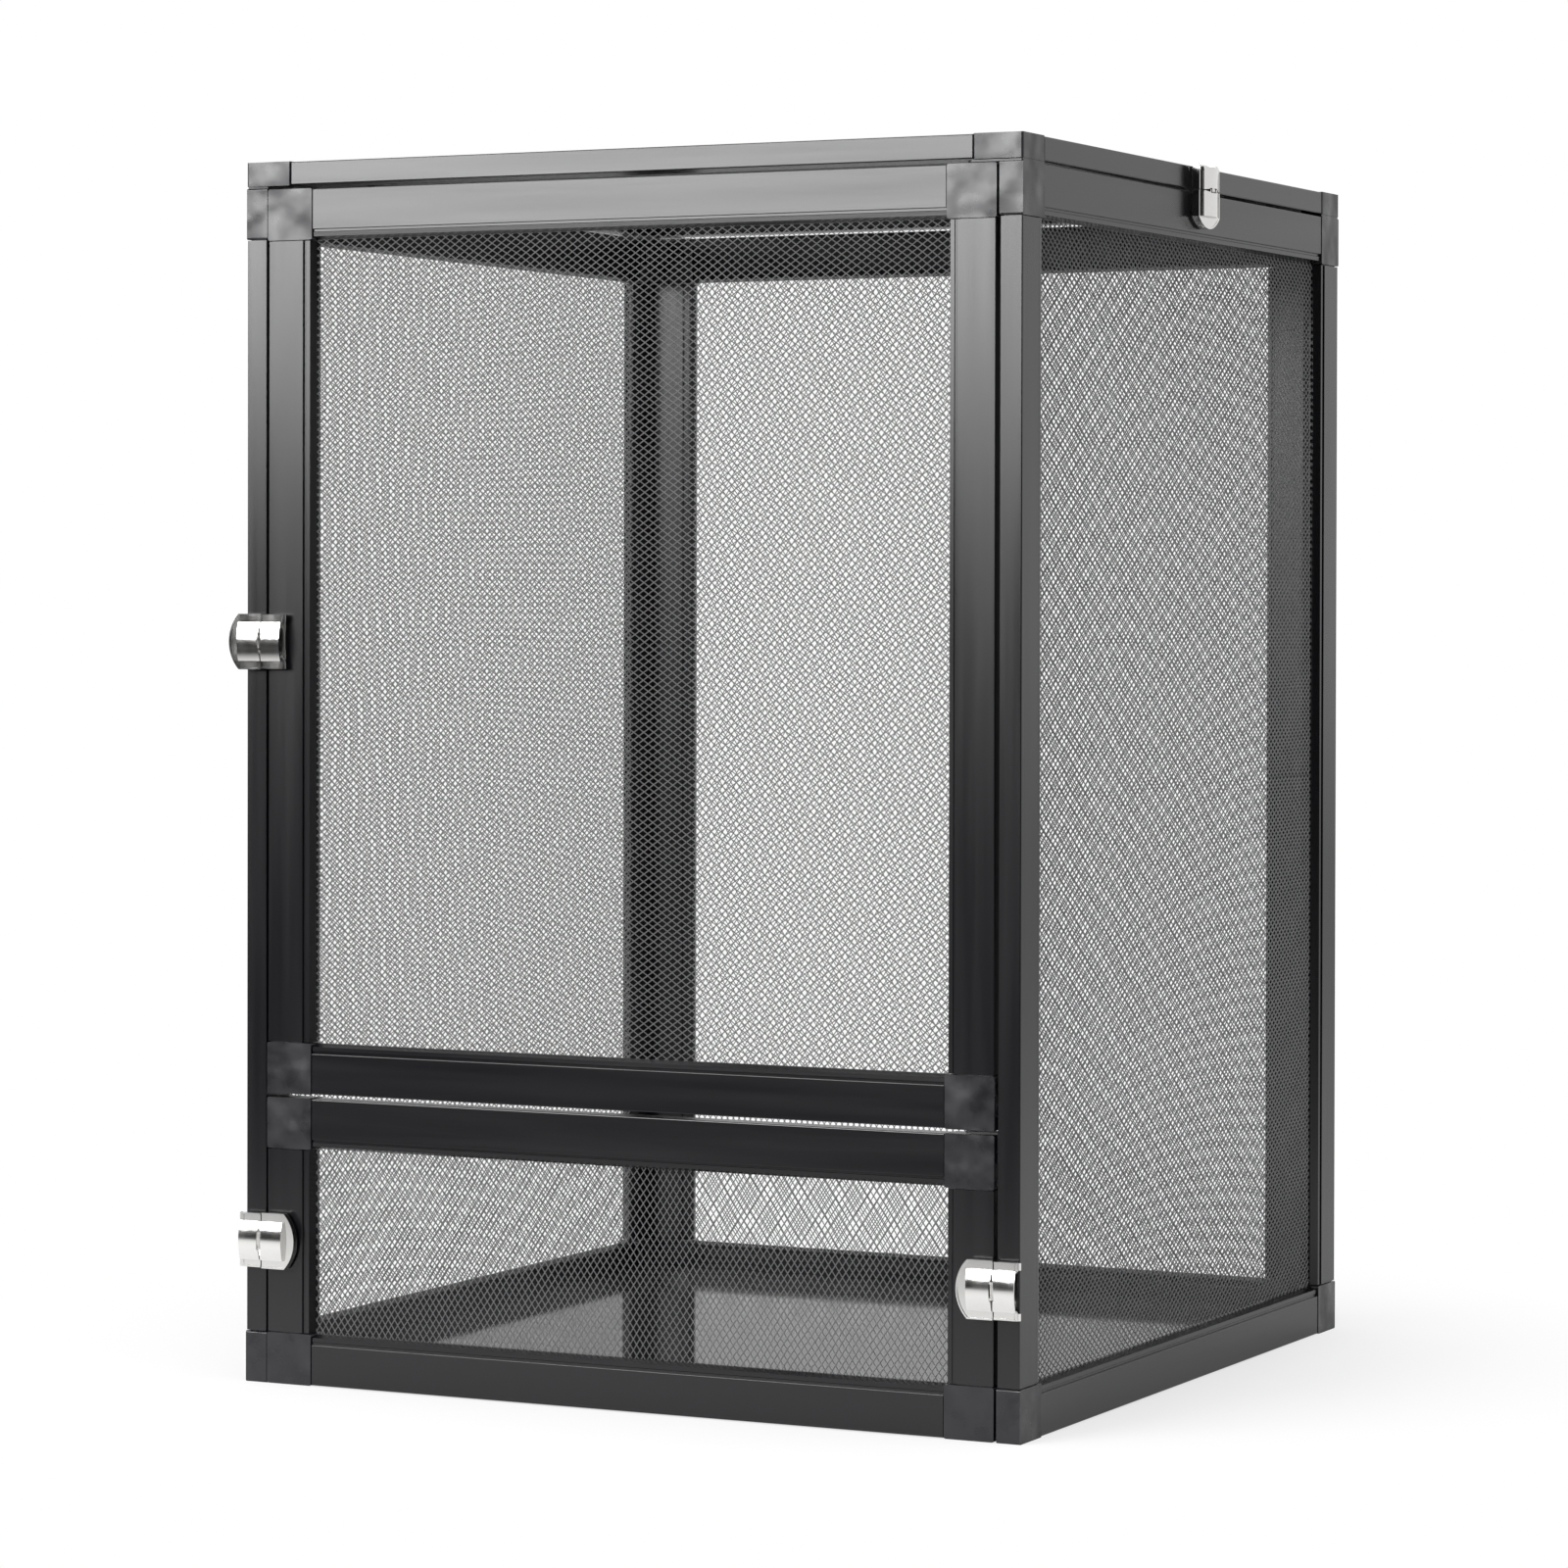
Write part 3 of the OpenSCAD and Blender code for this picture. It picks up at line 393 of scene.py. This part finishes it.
X, Y, Z = (1, 0, 0), (0, 1, 0), (0, 0, 1)
BACK_X, BACK_Y = (-1, 0, 0), (0, -1, 0)
expanded_metal("upper_door_mesh", "upper_door", X, Z, 2)
expanded_metal("lower_door_mesh", "lower_door", Z, BACK_X, 1)
expanded_metal("right_mesh", "cage_body", Y, Z, 2)
expanded_metal("left_mesh", "cage_body", BACK_Y, Z, 2)
expanded_metal("back_mesh", "cage_body", Z, X, 2)
expanded_metal("lid_mesh", "lid", X, Y, 2)


# ---------- Stage, light and camera ----------

# Strength of the plain fill, and of the surround in reflections before and behind the object.
AMBIENT = 0.5
DARK_FRONT = 0.03
PALE_BACK = 0.88
# The Y part of a direction where that reflection starts and ends its change.
MIRROR_FROM, MIRROR_TO = -0.5, 0.3
# The floor: half its width, the Y where it is dark and where it is pale, and both tones. The dark is painted
# shade: the floor's colour is darkened far in front to stand for the unlit front of the room in reflections.
FLOOR_HALF = 8.0
PAINTED_SHADE_Y, PALE_Y = -1.2, -0.35
FLOOR_PAINTED_SHADE, FLOOR_PALE = 0.03, 0.86
# How far from the origin the camera's white starts and is full, and its share at either.
WHITE_FROM, WHITE_TO = 0.2, 0.5
WHITE_NEAR, WHITE_FAR = 0.6, 1.0


def map_smooth(tree, value, low, high, at_low, at_high):
    """A smooth step from at_low to at_high as the value goes from low to high."""
    node = tree.nodes.new("ShaderNodeMapRange")
    node.interpolation_type = "SMOOTHSTEP"
    for key, number in (("From Min", low), ("From Max", high), ("To Min", at_low), ("To Max", at_high)):
        node.inputs[key].default_value = number
    link(tree, value, node.inputs["Value"])
    return node.outputs["Result"]


def make_world():
    """A white surround whose front is left dark in reflections, as an unlit side of a studio is.

    The camera sees full white, a surface a plain fill, and a reflection PALE_BACK behind the object and
    DARK_FRONT before it, with a smooth change between by the Y part of its direction."""
    world = bpy.data.worlds.new("white_room")
    world.use_nodes = True
    tree = world.node_tree
    tree.nodes.clear()
    path = tree.nodes.new("ShaderNodeLightPath")
    way = tree.nodes.new("ShaderNodeSeparateXYZ")
    link(tree, tree.nodes.new("ShaderNodeTexCoord").outputs["Generated"], way.inputs["Vector"])
    mirrored = map_smooth(tree, way.outputs["Y"], MIRROR_FROM, MIRROR_TO, DARK_FRONT, PALE_BACK)
    straight = math_node(tree, "MAXIMUM", path.outputs["Is Camera Ray"], path.outputs["Is Transmission Ray"])
    glossy = math_node(tree, "MULTIPLY", path.outputs["Is Glossy Ray"],
                       math_node(tree, "SUBTRACT", mirrored, AMBIENT))
    strength = math_node(tree, "MAXIMUM", straight, math_node(tree, "ADD", glossy, AMBIENT))
    back = tree.nodes.new("ShaderNodeBackground")
    back.inputs["Color"].default_value = (1, 1, 1, 1)
    link(tree, strength, back.inputs["Strength"])
    output = tree.nodes.new("ShaderNodeOutputWorld")
    link(tree, back.outputs[0], output.inputs["Surface"])
    bpy.context.scene.world = world


def make_floor():
    """A wide floor, pale and lit round the object, where it keeps the soft shadow, and plain white to
    the camera further out. Far in front its colour is painted dark, painted shade that stands for the unlit
    front of the room in reflections."""
    points = np.array([(-1, -1, 0), (1, -1, 0), (1, 1, 0), (-1, 1, 0)], float) * FLOOR_HALF
    floor = mesh_from_triangles("floor_plane", points, np.array([(0, 1, 2), (0, 2, 3)]))
    mat, tree, shader, coords = new_material("floor_white")
    output = shader.outputs[0].links[0].to_node
    reach = tree.nodes.new("ShaderNodeVectorMath")
    reach.operation = "LENGTH"
    link(tree, coords, reach.inputs[0])
    place = tree.nodes.new("ShaderNodeSeparateXYZ")
    link(tree, coords, place.inputs["Vector"])
    tone = tree.nodes.new("ShaderNodeCombineColor")
    # Painted shade: the floor's colour darkens towards the front, standing in reflections for the unlit
    # front of the room.
    level = map_smooth(tree, place.outputs["Y"], PAINTED_SHADE_Y, PALE_Y, FLOOR_PAINTED_SHADE, FLOOR_PALE)
    for key in ("Red", "Green", "Blue"):
        link(tree, level, tone.inputs[key])
    link(tree, tone.outputs[0], shader.inputs["Base Color"])
    shader.inputs["Roughness"].default_value = 0.9
    shader.inputs["Specular IOR Level"].default_value = 0.0
    seen = tree.nodes.new("ShaderNodeLightPath").outputs["Is Camera Ray"]
    white = tree.nodes.new("ShaderNodeEmission")
    mix = tree.nodes.new("ShaderNodeMixShader")
    share = map_smooth(tree, reach.outputs["Value"], WHITE_FROM, WHITE_TO, WHITE_NEAR, WHITE_FAR)
    link(tree, math_node(tree, "MULTIPLY", seen, share), mix.inputs["Fac"])
    link(tree, shader.outputs[0], mix.inputs[1])
    link(tree, white.outputs[0], mix.inputs[2])
    link(tree, mix.outputs[0], output.inputs["Surface"])
    floor.data.materials.append(mat)


def softbox(name, place, aim, width, height, watts):
    """A rectangular lamp at place that faces aim."""
    lamp = bpy.data.lights.new(name, "AREA")
    lamp.shape = "RECTANGLE"
    lamp.size = width
    lamp.size_y = height
    lamp.energy = watts
    holder = bpy.data.objects.new(name, lamp)
    bpy.context.scene.collection.objects.link(holder)
    holder.location = place
    away = np.array(place, float) - np.array(aim, float)
    flat = math.hypot(away[0], away[1])
    holder.rotation_euler = (math.atan2(flat, away[2]), 0, math.atan2(away[0], -away[1]))


make_world()
make_floor()
# The lower edge of the front lamp is what the middle of the doors mirrors to the camera.
softbox("front_box", (-1.27, -2.6, 1.34), (0.0, 0.0, 1.2), 1.9, 1.42, 105)
softbox("top_box", (0.2, -0.3, 2.6), (0, 0, 0.3), 2.0, 2.0, 35)
softbox("right_box", (2.4, -0.6, 1.4), (0, 0, 0.3), 1.2, 1.6, 4)

camera = bpy.data.cameras.new("photo_camera")
camera.sensor_width = SENSOR
camera.lens = CAMERA_LENS
camera.shift_y = CAMERA_SHIFT
camera.clip_end = CAMERA_REACH
holder = bpy.data.objects.new("photo_camera", camera)
bpy.context.scene.collection.objects.link(holder)
holder.location = CAMERA_PLACE
turn = mathutils.Matrix.Rotation(math.radians(CAMERA_TURN), 3, "Z")
tilt = mathutils.Matrix.Rotation(math.radians(90 + CAMERA_TILT), 3, "X")
roll = mathutils.Matrix.Rotation(math.radians(CAMERA_ROLL), 3, "Z")
holder.rotation_euler = (turn @ tilt @ roll).to_euler()
bpy.context.scene.camera = holder
bpy.context.scene.view_settings.view_transform = "Standard"
